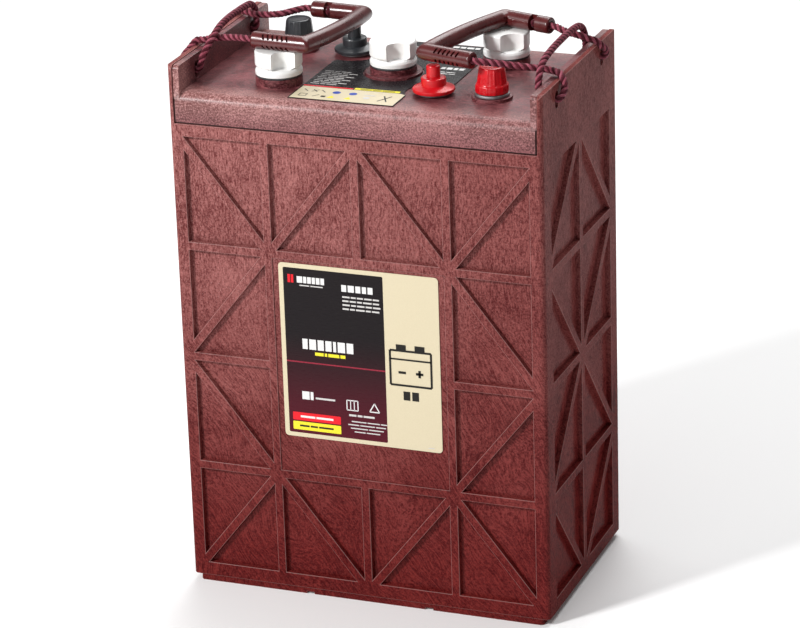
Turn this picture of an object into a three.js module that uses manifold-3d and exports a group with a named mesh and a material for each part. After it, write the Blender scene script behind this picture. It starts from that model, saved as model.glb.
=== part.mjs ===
// Deep cycle battery: a three-cell flooded lead-acid battery with rope handles.
// Units are millimetres. X runs along the length, -Y is the labelled front, +Z is up.
// The origin is on the ground, under the middle of the case.

import * as THREE from 'three';
import { mergeVertices } from 'three/addons/utils/BufferGeometryUtils.js';
import Module from 'manifold-3d';

const wasm = await Module();
wasm.setup();

// ---------------------------------------------------------------- driving dimensions

const LENGTH = 296;
const WIDTH = 178;
const END_WALL_TOP = 424;
const GAP = 0.3; // left between pieces that touch
const HALF_L = LENGTH / 2;
const HALF_W = WIDTH / 2;

const CASE = {
  cornerRadius: 4,
  plinthHeight: 5.4,
  plinthInset: 5.5,
  rim: 378.5, // top of the front and back walls
  cavityX: 140.5,
  cavityY: 81.5,
  floor: 5.2,
  endWall: 4, // thickness of the end walls above the rim
  partition: 3,
  partitionX: 49.3,
  grooveWidth: 6,
  grooveDepth: 1.7,
  restRibHeight: 11.8,
  restRibWidth: 4,
  restRibY: [-58, -20, 20, 58],
};

// The ribs on the outside walls follow a square grid, with a diagonal in each square.
const GRID = {
  rows: [371.6, 281.1, 190.6, 100.1, 9.6],
  frontColumns: [-144, -72, 0, 72, 144],
  sideColumns: [-78, 0, 78],
  halfRib: 3.25,
  depth: 4,
  draft: 0.7,
  edgeInset: 6.8,
  bottomInset: 6.9,
  topInset: { front: 2.9, side: 6.6 },
};
const PANEL = { halfX: 69, low: 103.7, high: 277.8, depth: 1 };

const COVER = {
  bottom: 378.8,
  top: 403,
  halfX: 143.7,
  edgeRadius: 9,
  roof: 4,
  wallX: 4.5,
  wallY: 7,
  earInner: 138.6,
  earHalfY: 88,
  earTop: 423.7,
  cornerRadius: 4,
  rib: 4,
};
const SLOT = { y: 54, halfWidth: 3.6, low: 404.6, high: 418 };

const CAP = {
  places: [[-75.2, -44.8], [0, 0], [75.2, 44.8]],
  bossTop: 409.5,
  bossRadius: 18,
  bore: 15.8,
  neckBottom: 384,
  flangeRadius: 18,
  flangeBottom: 411.2,
  bodyRadius: 18,
  top: 429.5,
  stemRadius: 13,
  stemBottom: 388,
  chamber: 8.2,
  chamberTop: 425,
  recessRadius: 10.6,
  recessOffset: 20.6,
  recessAngle: -55, // degrees from +X, so 35 degrees from the front
  lugReach: 15.2,
};
const CENTRE_RING = { radius: 22.2, top: 405.3 };
const GASKET = { inner: 13.4, outer: 17.6, bottom: 409.8, top: 410.9 };

// Each terminal pair is a threaded stud and a tapered post, joined by a bar under the cover.
const STUD = { x: 47, y: -40 };
const POST = { x: 92.6, y: -38.8 };
const BUSHING = {
  hole: 8.6,
  neck: 8.2,
  studFlange: 12.5,
  postFlange: 13.2,
  postBoss: 15.3,
  postBossTop: 405.5,
  flangeBottomStud: 403.3,
  flangeTopStud: 405,
  flangeTopPost: 408,
  postBase: 8.9,
  postTip: 7.9,
  postTop: 424,
  studRadius: 4,
  studTop: 421,
};
const NUT = { acrossFlats: 13, height: 6.5, hole: 4.3 };
const WASHER = { outer: 8.2, hole: 4.3, thickness: 1.4 };
const STUD_COVER = { bottom: 405.4, flange: 16, mid: 9.5, midTop: 416.3, tip: 5.2, top: 425.5 };
const POST_COVER = { bottom: 408.3, base: 12.3, baseTop: 414.6, shoulder: 11.4, tip: 9.5, top: 428 };
const LINK = { bottom: 384, top: 392, halfWidth: 10.5, hole: 6.3, stem: 6 };

// One cell: plates stand across the case, face to face along X.
const PLATE = {
  bottom: 17.4,
  top: 318,
  halfWidth: 75,
  pitch: 10.2,
  positives: 8,
  positive: 3.2,
  negative: 2.4,
  lugHalf: 7,
  strapBottom: 332,
  strapTop: 342,
  strapHalf: 9.5,
  strapY: 39,
};
const SEPARATOR = { bottom: 17.4, top: 323, halfWidth: 77.5, sheet: 1.4 };
const SHIELD = { bottom: 324.4, top: 325.8, halfX: 44, halfY: 80, slot: 10.5, bridge: 1.2 };
const CONNECTOR = { z: 360, pin: 6, tab: 5, halfWidth: 10, top: 370 };
const CELLS = [
  { x: -95.65, positiveSide: -1 },
  { x: 0, positiveSide: 1 },
  { x: 95.65, positiveSide: -1 },
];

// Both grips have one shape, lying at its own place and turn.
const GRIP = {
  radius: 6.4,
  sides: 12,
  arm: 43,
  span: 101,
  bow: 3.6,
  bore: 3.5,
  notchStart: 11.7,
  notchLength: 5.6,
  places: {
    left: { at: [-90, 2.75, 434.12], yaw: -4.65, roll: -2.36 },
    right: { at: [97.68, -5.34, 435.9], yaw: 163.75, roll: -0.36 },
  },
};

// Rope routes. A lead runs from inside a grip to the top of the end wall, an outer part goes
// on from there down the outside and into a slot, and a strand joins the two slots inside.
const ROPE = { radius: 2.75, sides: 8, step: 8.5 };
const ROUTES = {
  left: {
    lead_front: [[-85.5, -48.2, 436.2], [-91.1, -47.8, 436.2], [-96.7, -47.3, 436.2], [-100.4, -46.6, 436.1],
      [-107.6, -42.8, 435], [-117, -39.2, 433.5], [-126.4, -36.3, 431.7], [-135.5, -34.3, 429.6],
      [-141.5, -33.6, 428], [-146.6, -34.2, 427.4]],
    outer_front: [[-150.9, -39.6, 421.4], [-151.5, -44.5, 420], [-151.6, -50, 418],
      [-151.3, -53.6, 415], [-149.6, -54.2, 412.2], [-146, -54, 411], [-142, -54, 411]],
    strand: [[-141, -54, 411], [-138.6, -54, 411], [-135.6, -55, 413.4], [-133.6, -55.9, 419.5],
      [-131.2, -53.4, 426], [-129, -48.4, 431.9], [-128, -41, 436.3], [-129, -28.3, 438.7],
      [-131, -7.1, 438.9], [-133, 14, 437.6], [-134.4, 33, 436.2], [-134.8, 44.6, 434.4],
      [-135, 52.4, 428.6], [-135.3, 54.8, 422], [-135.6, 54.6, 414], [-138.6, 54, 411],
      [-141, 54, 411]],
    lead_back: [[-77.3, 52.3, 432], [-82.9, 52.8, 432], [-88.5, 53.3, 432], [-92.2, 53, 432],
      [-98.8, 47.2, 431.3], [-106.4, 39.4, 430.4], [-115, 37.6, 429.5], [-123, 39.4, 428.4],
      [-131.6, 43, 427], [-140, 46.6, 427.4], [-146.4, 48.4, 427.4]],
    outer_back: [[-150.9, 50.4, 421.4], [-151.4, 52.2, 418.4], [-151.2, 53.6, 415.2],
      [-149.6, 54.2, 412.2], [-146, 54, 411], [-142, 54, 411]],
  },
  right: {
    lead_front: [[75.3, -51.4, 435.6], [80.7, -53, 435.6], [86, -54.5, 435.6], [89.7, -55, 435.5],
      [97.6, -51.2, 434.2], [104.6, -48.6, 433.1], [111.5, -46.4, 432], [118.5, -44, 430.9],
      [125.5, -40.8, 429.7], [132.6, -37.6, 428.5], [139.5, -37.8, 427.7], [146.2, -41.6, 427.4]],
    outer_front: [[151.1, -45.6, 421.4], [151.6, -46.6, 418.4], [151.6, -49.8, 415],
      [150.2, -53.6, 412.2], [146, -54, 411], [142, -54, 411]],
    strand: [[141, -54, 411], [138.6, -54, 411], [135.6, -55.8, 413.6], [135.2, -58, 420.4],
      [135.2, -56.2, 427.6], [135.3, -52.4, 433], [135.3, -44.2, 437.4], [135.3, -32, 439.5],
      [135.3, -18, 440.6], [135.3, -3, 441.2], [135.3, 12, 441.4], [135.3, 27, 440.8],
      [135.3, 38.4, 439.2], [135.3, 46.6, 435.2], [135.3, 51.6, 429.2], [135.3, 53.4, 421.8],
      [135.6, 54.2, 414], [138.6, 54, 411], [141, 54, 411]],
    lead_back: [[103.6, 45.5, 436.2], [108.9, 44, 436.2], [114.3, 42.4, 436.2], [117.8, 41, 436],
      [121.4, 39, 435.2], [126.6, 37.2, 434.3], [132.2, 36.6, 433.3], [138, 38, 431.4],
      [143, 40.6, 429], [146.9, 42.2, 427.6]],
    outer_back: [[151, 47.6, 421.4], [151.5, 51.8, 418.6], [151.3, 54, 415.4],
      [149.6, 54.2, 412.2], [146, 54, 411], [142, 54, 411]],
  },
};

const FRONT_LABEL = { low: [-64.3, 133.7], high: [64.2, 275.5], radius: 3, thickness: 0.35 };
const TOP_LABEL = { halfX: 55, halfY: 78.7, frontX: 29, cutY: -51, arcRadius: 22, hole: 23.4,
  bottom: 403.3, thickness: 0.35 };

// ---------------------------------------------------------------- materials

function plastic(color, roughness = 0.5) {
  return new THREE.MeshStandardMaterial({ color, roughness, metalness: 0 });
}

function lead(color = 0x74767a) {
  return new THREE.MeshStandardMaterial({ color, roughness: 0.55, metalness: 0.9 });
}

const MATERIAL = {
  case: () => plastic(0x6b2a2c, 0.6),
  cover: () => plastic(0x6e3236, 0.6),
  grip: () => plastic(0x5c1a1c, 0.35),
  rope: () => plastic(0x8c3a48, 0.9),
  white: () => plastic(0xe8e8e4, 0.4),
  gasket: () => plastic(0x3a3c3e, 0.8),
  red: () => plastic(0xd0161e, 0.35),
  black: () => plastic(0x24282a, 0.4),
  paper: () => plastic(0xe6d3a4, 0.4),
  film: () => plastic(0x1a1416, 0.3),
  lead: () => lead(),
  positive: () => lead(0x4a3428),
  negative: () => lead(0x85888c),
  separator: () => plastic(0xc8c4b4, 0.9),
  shield: () => plastic(0xb8bcbc, 0.7),
  steel: () => new THREE.MeshStandardMaterial({ color: 0xb4b6b8, roughness: 0.35, metalness: 1 }),
};

// ---------------------------------------------------------------- solids

// A closed geometry, as a solid that can be joined and cut.
function solid(geometry) {
  const bare = geometry.clone();
  bare.deleteAttribute('normal');
  bare.deleteAttribute('uv');
  const merged = mergeVertices(bare, 1e-4);
  return new wasm.Manifold(new wasm.Mesh({
    numProp: 3,
    vertProperties: new Float32Array(merged.attributes.position.array),
    triVerts: new Uint32Array(merged.index.array),
  }));
}

function geometryOf(body) {
  const mesh = body.getMesh();
  const geometry = new THREE.BufferGeometry();
  geometry.setAttribute('position', new THREE.BufferAttribute(new Float32Array(mesh.vertProperties), 3));
  geometry.setIndex(new THREE.BufferAttribute(new Uint32Array(mesh.triVerts), 1));
  geometry.computeVertexNormals();
  return geometry;
}

function joined(...bodies) {
  return bodies.reduce((whole, body) => whole.add(body));
}

function cut(body, ...tools) {
  return tools.reduce((whole, tool) => whole.subtract(tool), body);
}

// A box between two corners.
function box(low, high) {
  const size = high.map((value, axis) => value - low[axis]);
  const middle = high.map((value, axis) => (value + low[axis]) / 2);
  return solid(new THREE.BoxGeometry(...size).translate(...middle));
}

// A flat outline, extruded upwards from one height to another.
function prism(shape, low, high, curveSegments = 6) {
  const geometry = new THREE.ExtrudeGeometry(shape, { depth: high - low, bevelEnabled: false, curveSegments });
  return solid(geometry.translate(0, 0, low));
}

// An outline in Y and Z, extruded along X.
function beam(shape, low, high, curveSegments = 4) {
  const geometry = new THREE.ExtrudeGeometry(shape, { depth: high - low, bevelEnabled: false, curveSegments });
  const turn = new THREE.Matrix4().makeBasis(
    new THREE.Vector3(0, 1, 0), new THREE.Vector3(0, 0, 1), new THREE.Vector3(1, 0, 0));
  return solid(geometry.applyMatrix4(turn).translate(low, 0, 0));
}

// A profile of [radius, height] pairs turned about a vertical axis.
function turned(profile, x = 0, y = 0, segments = 20) {
  const points = profile.map(([radius, height]) => new THREE.Vector2(radius, height));
  return solid(new THREE.LatheGeometry(points, segments).rotateX(Math.PI / 2).translate(x, y, 0));
}

function cylinder(radius, low, high, x = 0, y = 0, segments = 20) {
  return turned([[0, low], [radius, low], [radius, high], [0, high]], x, y, segments);
}

function ring(inner, outer, low, high, x = 0, y = 0, segments = 20) {
  return turned([[inner, low], [outer, low], [outer, high], [inner, high], [inner, low]], x, y, segments);
}

function roundedRectangle(lowX, lowY, highX, highY, radius) {
  const shape = new THREE.Shape();
  shape.moveTo(lowX + radius, lowY);
  shape.lineTo(highX - radius, lowY);
  shape.absarc(highX - radius, lowY + radius, radius, -Math.PI / 2, 0);
  shape.lineTo(highX, highY - radius);
  shape.absarc(highX - radius, highY - radius, radius, 0, Math.PI / 2);
  shape.lineTo(lowX + radius, highY);
  shape.absarc(lowX + radius, highY - radius, radius, Math.PI / 2, Math.PI);
  shape.lineTo(lowX, lowY + radius);
  shape.absarc(lowX + radius, lowY + radius, radius, Math.PI, Math.PI * 1.5);
  return shape;
}

function polygon(points) {
  return new THREE.Shape(points.map(([x, y]) => new THREE.Vector2(x, y)));
}

function regularPolygon(radius, sides, turn = 0) {
  return polygon(Array.from({ length: sides }, (_, i) => {
    const angle = turn + (i * 2 * Math.PI) / sides;
    return [radius * Math.cos(angle), radius * Math.sin(angle)];
  }));
}

function tube(points, radius, sides, step) {
  const places = points.map((point) => new THREE.Vector3(...point));
  const curve = new THREE.CatmullRomCurve3(places, false, 'centripetal');
  const steps = Math.max(2, Math.round(curve.getLength() / step));
  return new THREE.ExtrudeGeometry(regularPolygon(radius, sides, Math.PI / sides),
    { extrudePath: curve, steps, bevelEnabled: false });
}

function meshOf(name, body, material) {
  const mesh = new THREE.Mesh(geometryOf(body), material);
  mesh.name = name;
  return mesh;
}

// ---------------------------------------------------------------- case

// A triangle with each side moved inwards by its own inset.
function insetTriangle(corners, insets) {
  const centre = corners.reduce((sum, [x, y]) => [sum[0] + x / 3, sum[1] + y / 3], [0, 0]);
  const lines = corners.map((start, i) => {
    const end = corners[(i + 1) % 3];
    const length = Math.hypot(end[0] - start[0], end[1] - start[1]);
    let normal = [(start[1] - end[1]) / length, (end[0] - start[0]) / length];
    if ((centre[0] - start[0]) * normal[0] + (centre[1] - start[1]) * normal[1] < 0) {
      normal = normal.map((value) => -value);
    }
    return { normal, offset: normal[0] * start[0] + normal[1] * start[1] + insets[i] };
  });
  return lines.map((line, i) => {
    const previous = lines[(i + 2) % 3];
    const [a, b] = previous.normal;
    const [c, d] = line.normal;
    const determinant = a * d - b * c;
    return [(previous.offset * d - line.offset * b) / determinant,
      (line.offset * a - previous.offset * c) / determinant];
  });
}

// The space of one pocket: wide at the wall's surface, narrower at its floor.
function pocket(corners, insets, place) {
  const levels = [
    { depth: -1, grow: -GRID.draft / GRID.depth },
    { depth: GRID.depth, grow: GRID.draft },
  ];
  const points = levels.flatMap(({ depth, grow }) => insetTriangle(corners, insets.map((inset) => inset + grow))
    .map(([across, height]) => place(across, depth, height)));
  const sides = [[0, 1, 2], [3, 5, 4], [0, 3, 4], [0, 4, 1], [1, 4, 5], [1, 5, 2], [2, 5, 3], [2, 3, 0]];
  const geometry = new THREE.BufferGeometry();
  geometry.setAttribute('position', new THREE.BufferAttribute(new Float32Array(points.flat()), 3));
  geometry.setIndex(sides.flat());
  const shape = solid(geometry);
  if (shape.volume() > 0) return shape;
  geometry.setIndex(sides.flatMap(([a, b, c]) => [a, c, b]));
  return solid(geometry);
}

// How far a side of a pocket stays from the grid line or diagonal that it follows.
function sideInset(start, end, columns, topInset) {
  const upright = start[0] === end[0];
  const level = start[1] === end[1];
  if (upright && Math.abs(start[0]) === Math.abs(columns[0])) return GRID.edgeInset;
  if (level && start[1] === GRID.rows[0]) return topInset;
  if (level && start[1] === GRID.rows.at(-1)) return GRID.bottomInset;
  return GRID.halfRib;
}

// The two pockets of each grid square, either side of its diagonal.
function pockets(columns, topInset, diagonalParity, skipped, place) {
  const found = [];
  for (let i = 0; i + 1 < columns.length; i += 1) {
    for (let j = 0; j + 1 < GRID.rows.length; j += 1) {
      if (!skipped(i, j)) {
        const at = (column, row) => [columns[column], GRID.rows[row]];
        const falling = (i + j) % 2 === diagonalParity;
        const halves = falling
          ? [[at(i, j), at(i + 1, j), at(i + 1, j + 1)], [at(i, j), at(i + 1, j + 1), at(i, j + 1)]]
          : [[at(i, j), at(i + 1, j), at(i, j + 1)], [at(i + 1, j), at(i + 1, j + 1), at(i, j + 1)]];
        for (const corners of halves) {
          const insets = corners.map((start, k) => sideInset(start, corners[(k + 1) % 3], columns, topInset));
          found.push(pocket(corners, insets, place));
        }
      }
    }
  }
  return found;
}

function wallPockets() {
  const behindPanel = (i, j) => (i === 1 || i === 2) && (j === 1 || j === 2);
  const found = [];
  for (const side of [-1, 1]) {
    found.push(...pockets(GRID.frontColumns, GRID.topInset.front, 0, behindPanel,
      (across, depth, height) => [across * -side, side * (HALF_W - depth), height]));
    found.push(...pockets(GRID.sideColumns, GRID.topInset.side, 1, () => false,
      (across, depth, height) => [side * (HALF_L - depth), across, height]));
    const face = [side * HALF_W, side * (HALF_W - PANEL.depth)].sort((a, b) => a - b);
    found.push(box([-PANEL.halfX, face[0] - (side < 0 ? 1 : 0), PANEL.low],
      [PANEL.halfX, face[1] + (side > 0 ? 1 : 0), PANEL.high]));
  }
  return found;
}

function slotCuts(side) {
  const low = side > 0 ? COVER.earInner - 2 : -HALF_L - 2;
  const high = side > 0 ? HALF_L + 2 : -COVER.earInner + 2;
  return [-SLOT.y, SLOT.y].map((y) => beam(
    roundedRectangle(y - SLOT.halfWidth, SLOT.low, y + SLOT.halfWidth, SLOT.high, SLOT.halfWidth - 0.1),
    low, high, 3));
}

// An upright wall across the case, with round top corners.
function endWall(lowX, highX, halfY, low, high, radius) {
  const shape = new THREE.Shape();
  shape.moveTo(-halfY, low);
  shape.lineTo(halfY, low);
  shape.lineTo(halfY, high - radius);
  shape.absarc(halfY - radius, high - radius, radius, 0, Math.PI / 2);
  shape.lineTo(-halfY + radius, high);
  shape.absarc(-halfY + radius, high - radius, radius, Math.PI / 2, Math.PI);
  return beam(shape, lowX, highX);
}

function cellCavity(cell) {
  const innerEdge = CASE.partitionX + CASE.partition / 2;
  const centreEdge = CASE.partitionX - CASE.partition / 2;
  const [low, high] = cell.x === 0 ? [-centreEdge, centreEdge] : [innerEdge, CASE.cavityX];
  const flip = cell.x < 0;
  return box([flip ? -high : low, -CASE.cavityY, CASE.floor], [flip ? -low : high, CASE.cavityY, CASE.rim + 1]);
}

function restRibs() {
  return CASE.restRibY.map((y) => box(
    [-CASE.cavityX - 1, y - CASE.restRibWidth / 2, CASE.floor - 1],
    [CASE.cavityX + 1, y + CASE.restRibWidth / 2, CASE.floor + CASE.restRibHeight]));
}

function connectorHoles() {
  return [-1, 1].map((side) => {
    const hole = new THREE.CylinderGeometry(CONNECTOR.pin + GAP, CONNECTOR.pin + GAP, 12, 20);
    return solid(hole.rotateZ(Math.PI / 2).translate(side * CASE.partitionX, side * PLATE.strapY, CONNECTOR.z));
  });
}

function batteryCase() {
  const outline = roundedRectangle(-HALF_L, -HALF_W, HALF_L, HALF_W, CASE.cornerRadius);
  const plinth = roundedRectangle(-HALF_L + CASE.plinthInset, -HALF_W + 1,
    HALF_L - CASE.plinthInset, HALF_W - 1, CASE.cornerRadius - 1);
  let body = joined(prism(outline, CASE.plinthHeight, CASE.rim, 4), prism(plinth, 0, CASE.plinthHeight + 1, 4));
  body = cut(body, ...CELLS.map(cellCavity));
  body = joined(body, ...restRibs());
  for (const side of [-1, 1]) {
    const [low, high] = [side * HALF_L, side * (HALF_L - CASE.endWall)].sort((a, b) => a - b);
    const wall = endWall(low, high, HALF_W, CASE.rim - 2, END_WALL_TOP, CASE.cornerRadius);
    body = body.add(wall.intersect(prism(outline, 0, END_WALL_TOP + 1, 4)));
    body = cut(body, ...slotCuts(side));
    body = cut(body, box([side * CASE.partitionX - CASE.grooveWidth / 2, -HALF_W - 1, -1],
      [side * CASE.partitionX + CASE.grooveWidth / 2, HALF_W + 1, CASE.grooveDepth]));
  }
  return cut(body, ...wallPockets(), ...connectorHoles());
}

// ---------------------------------------------------------------- cover

function coverProfile(halfY, low, high, radius) {
  const shape = new THREE.Shape();
  shape.moveTo(-halfY, low);
  shape.lineTo(halfY, low);
  shape.lineTo(halfY, high - radius);
  shape.absarc(halfY - radius, high - radius, radius, 0, Math.PI / 2);
  shape.lineTo(-halfY + radius, high);
  shape.absarc(-halfY + radius, high - radius, radius, Math.PI / 2, Math.PI);
  return shape;
}

function cover() {
  const profile = coverProfile(HALF_W, COVER.bottom, COVER.top, COVER.edgeRadius);
  let body = beam(profile, -COVER.halfX, COVER.halfX);
  const chamber = coverProfile(HALF_W - COVER.wallY, COVER.bottom - 1, COVER.top - COVER.roof,
    COVER.edgeRadius - COVER.roof);
  const ribEdges = [CASE.partitionX + COVER.rib / 2, CASE.partitionX - COVER.rib / 2];
  body = cut(body, beam(chamber, -ribEdges[1], ribEdges[1]),
    beam(chamber, ribEdges[0], COVER.halfX - COVER.wallX),
    beam(chamber, -COVER.halfX + COVER.wallX, -ribEdges[0]));
  for (const side of [-1, 1]) {
    const [low, high] = [side * COVER.earInner, side * COVER.halfX].sort((a, b) => a - b);
    body = body.add(endWall(low, high, COVER.earHalfY, COVER.top - 8, COVER.earTop, COVER.cornerRadius));
    body = cut(body, ...slotCuts(side));
    body = body.add(cylinder(BUSHING.postBoss, COVER.top - 1, BUSHING.postBossTop,
      side * POST.x, side * POST.y));
    body = cut(body, box([side * STUD.x - 12, side * STUD.y - 13, COVER.bottom - 1],
      [side * STUD.x + 12, side * STUD.y + 13, COVER.top - COVER.roof]));
  }
  body = body.add(cylinder(CENTRE_RING.radius, COVER.top - 1, CENTRE_RING.top, 0, 0, 24));
  for (const [x, y] of CAP.places) {
    body = body.add(cylinder(CAP.bossRadius, CAP.neckBottom, CAP.bossTop, x, y, 24));
  }
  for (const [x, y] of CAP.places) {
    body = body.subtract(cylinder(CAP.bore, CAP.neckBottom - 1, CAP.bossTop + 1, x, y, 24));
  }
  for (const side of [-1, 1]) {
    for (const place of [STUD, POST]) {
      body = body.subtract(cylinder(BUSHING.hole, COVER.top - 6, COVER.top + 6,
        side * place.x, side * place.y));
    }
  }
  return body;
}

// ---------------------------------------------------------------- vent caps

function ventCap(x, y) {
  const { flangeRadius, flangeBottom, bodyRadius, top } = CAP;
  let body = turned([
    [0, CAP.stemBottom], [CAP.stemRadius, CAP.stemBottom], [CAP.stemRadius, flangeBottom],
    [flangeRadius, flangeBottom], [flangeRadius, flangeBottom + 3], [flangeRadius - 0.9, flangeBottom + 4.6],
    [flangeRadius - 2.6, flangeBottom + 5.6], [bodyRadius - 0.6, flangeBottom + 6.6],
    [bodyRadius, flangeBottom + 7.4], [bodyRadius, top - 1], [bodyRadius - 1, top], [0, top],
  ], 0, 0, 24);
  const lugLow = CAP.stemBottom + 1;
  for (const side of [-1, 1]) {
    const lug = side > 0
      ? box([CAP.stemRadius - 1, -3, lugLow], [CAP.lugReach, 3, lugLow + 3])
      : box([-CAP.lugReach, -3, lugLow], [-CAP.stemRadius + 1, 3, lugLow + 3]);
    body = body.add(lug);
    body = body.subtract(cylinder(CAP.recessRadius, flangeBottom + 5.4, top + 1,
      side * CAP.recessOffset, 0, 20));
  }
  body = body.subtract(cylinder(CAP.chamber, CAP.stemBottom - 1, CAP.chamberTop, 0, 0, 16));
  body = body.subtract(cylinder(1.2, CAP.chamberTop - 1, top + 1, 0, 0, 8));
  return body.rotate([0, 0, CAP.recessAngle]).translate([x, y, 0]);
}

// A cup that stops splashed acid and lets gas past.
function splashBaffle(x, y) {
  const radius = CAP.chamber - GAP;
  const low = CAP.stemBottom + 1;
  const body = turned([[0, low], [radius, low], [radius, low + 9], [radius - 1.4, low + 9],
    [radius - 1.4, low + 2], [0, low + 2]], x, y, 16);
  return body.subtract(cylinder(1.4, low - 1, low + 3, x + 3.4, y, 6));
}

// ---------------------------------------------------------------- terminals

function conicalPost(side) {
  return turned([
    [0, PLATE.strapTop + GAP], [LINK.stem, PLATE.strapTop + GAP], [LINK.stem, LINK.top + 3],
    [BUSHING.neck, LINK.top + 4], [BUSHING.neck, BUSHING.postBossTop + GAP],
    [BUSHING.postFlange, BUSHING.postBossTop + GAP], [BUSHING.postFlange, BUSHING.flangeTopPost - 0.6],
    [BUSHING.postFlange - 0.6, BUSHING.flangeTopPost], [BUSHING.postBase, BUSHING.flangeTopPost],
    [BUSHING.postTip, BUSHING.postTop - 1], [BUSHING.postTip - 1, BUSHING.postTop], [0, BUSHING.postTop],
  ], side * POST.x, side * POST.y, 18);
}

function studPost(side) {
  return turned([
    [0, LINK.bottom - 2], [LINK.stem, LINK.bottom - 2], [LINK.stem, LINK.top + 3],
    [BUSHING.neck, LINK.top + 4], [BUSHING.neck, BUSHING.flangeBottomStud],
    [BUSHING.studFlange, BUSHING.flangeBottomStud], [BUSHING.studFlange, BUSHING.flangeTopStud],
    [BUSHING.studRadius, BUSHING.flangeTopStud], [BUSHING.studRadius, BUSHING.studTop - 1],
    [BUSHING.studRadius - 1, BUSHING.studTop], [0, BUSHING.studTop],
  ], side * STUD.x, side * STUD.y, 18);
}

function studWasher(side) {
  const low = BUSHING.flangeTopStud + GAP;
  return ring(WASHER.hole, WASHER.outer, low, low + WASHER.thickness, side * STUD.x, side * STUD.y, 14);
}

function studNut(side) {
  const low = BUSHING.flangeTopStud + 2 * GAP + WASHER.thickness;
  const hexagon = regularPolygon(NUT.acrossFlats / Math.sqrt(3), 6);
  const hole = cylinder(NUT.hole, low - 1, low + NUT.height + 1, 0, 0, 12);
  return prism(hexagon, low, low + NUT.height).subtract(hole).translate([side * STUD.x, side * STUD.y, 0]);
}

function linkBar(side) {
  const low = Math.min(side * STUD.x, side * POST.x) - 4;
  const high = Math.max(side * STUD.x, side * POST.x) + 4;
  const middle = (STUD.y + POST.y) / 2;
  const [lowY, highY] = [side * middle - LINK.halfWidth, side * middle + LINK.halfWidth];
  const bar = prism(roundedRectangle(low - 5, lowY, high + 5, highY, 9), LINK.bottom, LINK.top, 3);
  return cut(bar, ...[STUD, POST].map((place) => cylinder(LINK.hole, LINK.bottom - 1, LINK.top + 1,
    side * place.x, side * place.y, 14)));
}

function studCover(side) {
  const { bottom, flange, mid, midTop, tip, top } = STUD_COVER;
  return turned([
    [mid - 1.2, bottom], [flange, bottom], [flange, bottom + 2.6], [mid, bottom + 4.8],
    [mid, midTop - 0.8], [mid - 0.8, midTop], [tip, midTop],
    [tip, top - 0.7], [tip - 0.7, top], [0, top], [0, top - 1.4], [tip - 1, top - 1.4], [tip - 1, midTop - 1.2],
    [mid - 1.2, midTop - 1.2], [mid - 1.2, bottom],
  ], side * STUD.x, side * STUD.y);
}

function postCover(side) {
  const { bottom, base, baseTop, shoulder, tip, top } = POST_COVER;
  return turned([
    [BUSHING.postBase + 0.4, bottom], [base, bottom], [base - 0.3, baseTop - 0.8],
    [shoulder, baseTop], [tip, top - 0.8], [tip - 0.8, top], [0, top],
    [0, top - 1.4], [BUSHING.postTip + 0.4, top - 1.4], [BUSHING.postBase + 0.4, bottom],
  ], side * POST.x, side * POST.y);
}

// ---------------------------------------------------------------- cells

// Plates of one polarity, hung from the strap that joins their lugs.
function plateGroup(cell, positive) {
  const count = positive ? PLATE.positives : PLATE.positives + 1;
  const thickness = positive ? PLATE.positive : PLATE.negative;
  const strapY = PLATE.strapY * (positive ? cell.positiveSide : -cell.positiveSide);
  const first = cell.x - ((count - 1) / 2) * PLATE.pitch;
  const last = first + (count - 1) * PLATE.pitch;
  let body = box([first - thickness / 2 - 1, strapY - PLATE.strapHalf, PLATE.strapBottom],
    [last + thickness / 2 + 1, strapY + PLATE.strapHalf, PLATE.strapTop]);
  for (let i = 0; i < count; i += 1) {
    const x = first + i * PLATE.pitch;
    const shape = polygon([
      [-PLATE.halfWidth, PLATE.bottom], [PLATE.halfWidth, PLATE.bottom], [PLATE.halfWidth, PLATE.top],
      [strapY + PLATE.lugHalf, PLATE.top], [strapY + PLATE.lugHalf, PLATE.strapBottom + 1],
      [strapY - PLATE.lugHalf, PLATE.strapBottom + 1], [strapY - PLATE.lugHalf, PLATE.top],
      [-PLATE.halfWidth, PLATE.top],
    ]);
    body = body.add(beam(shape, x - thickness / 2, x + thickness / 2));
  }
  return body;
}

// One sheet folded to and fro between all the plates of a cell. Its outline runs along one face
// of the sheet to the last fold, and back along the other face.
function separatorPack(cell) {
  const count = PLATE.positives * 2;
  const pitch = PLATE.pitch / 2;
  const half = SEPARATOR.sheet / 2;
  const reach = SEPARATOR.halfWidth - half;
  const there = [];
  const back = [];
  for (let i = 0; i < count; i += 1) {
    const x = cell.x + (i - (count - 1) / 2) * pitch;
    const way = i % 2 ? -1 : 1;
    there.push([x - way * half, half - way * reach], [x - way * half, half + way * reach]);
    back.push([x + way * half, -half - way * reach], [x + way * half, -half + way * reach]);
  }
  return prism(polygon([...there, ...back.reverse()]), SEPARATOR.bottom, SEPARATOR.top);
}

// A thin guard on the separators, with slots for the plate lugs.
function elementShield(cell) {
  const sheet = box([cell.x - SHIELD.halfX, -SHIELD.halfY, SHIELD.bottom],
    [cell.x + SHIELD.halfX, SHIELD.halfY, SHIELD.top]);
  return cut(sheet, ...[-1, 1].map((side) => box(
    [cell.x - SHIELD.halfX - 1, side * PLATE.strapY - SHIELD.slot, SHIELD.bottom - 1],
    [cell.x + SHIELD.halfX - SHIELD.bridge, side * PLATE.strapY + SHIELD.slot, SHIELD.top + 1])));
}

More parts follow.
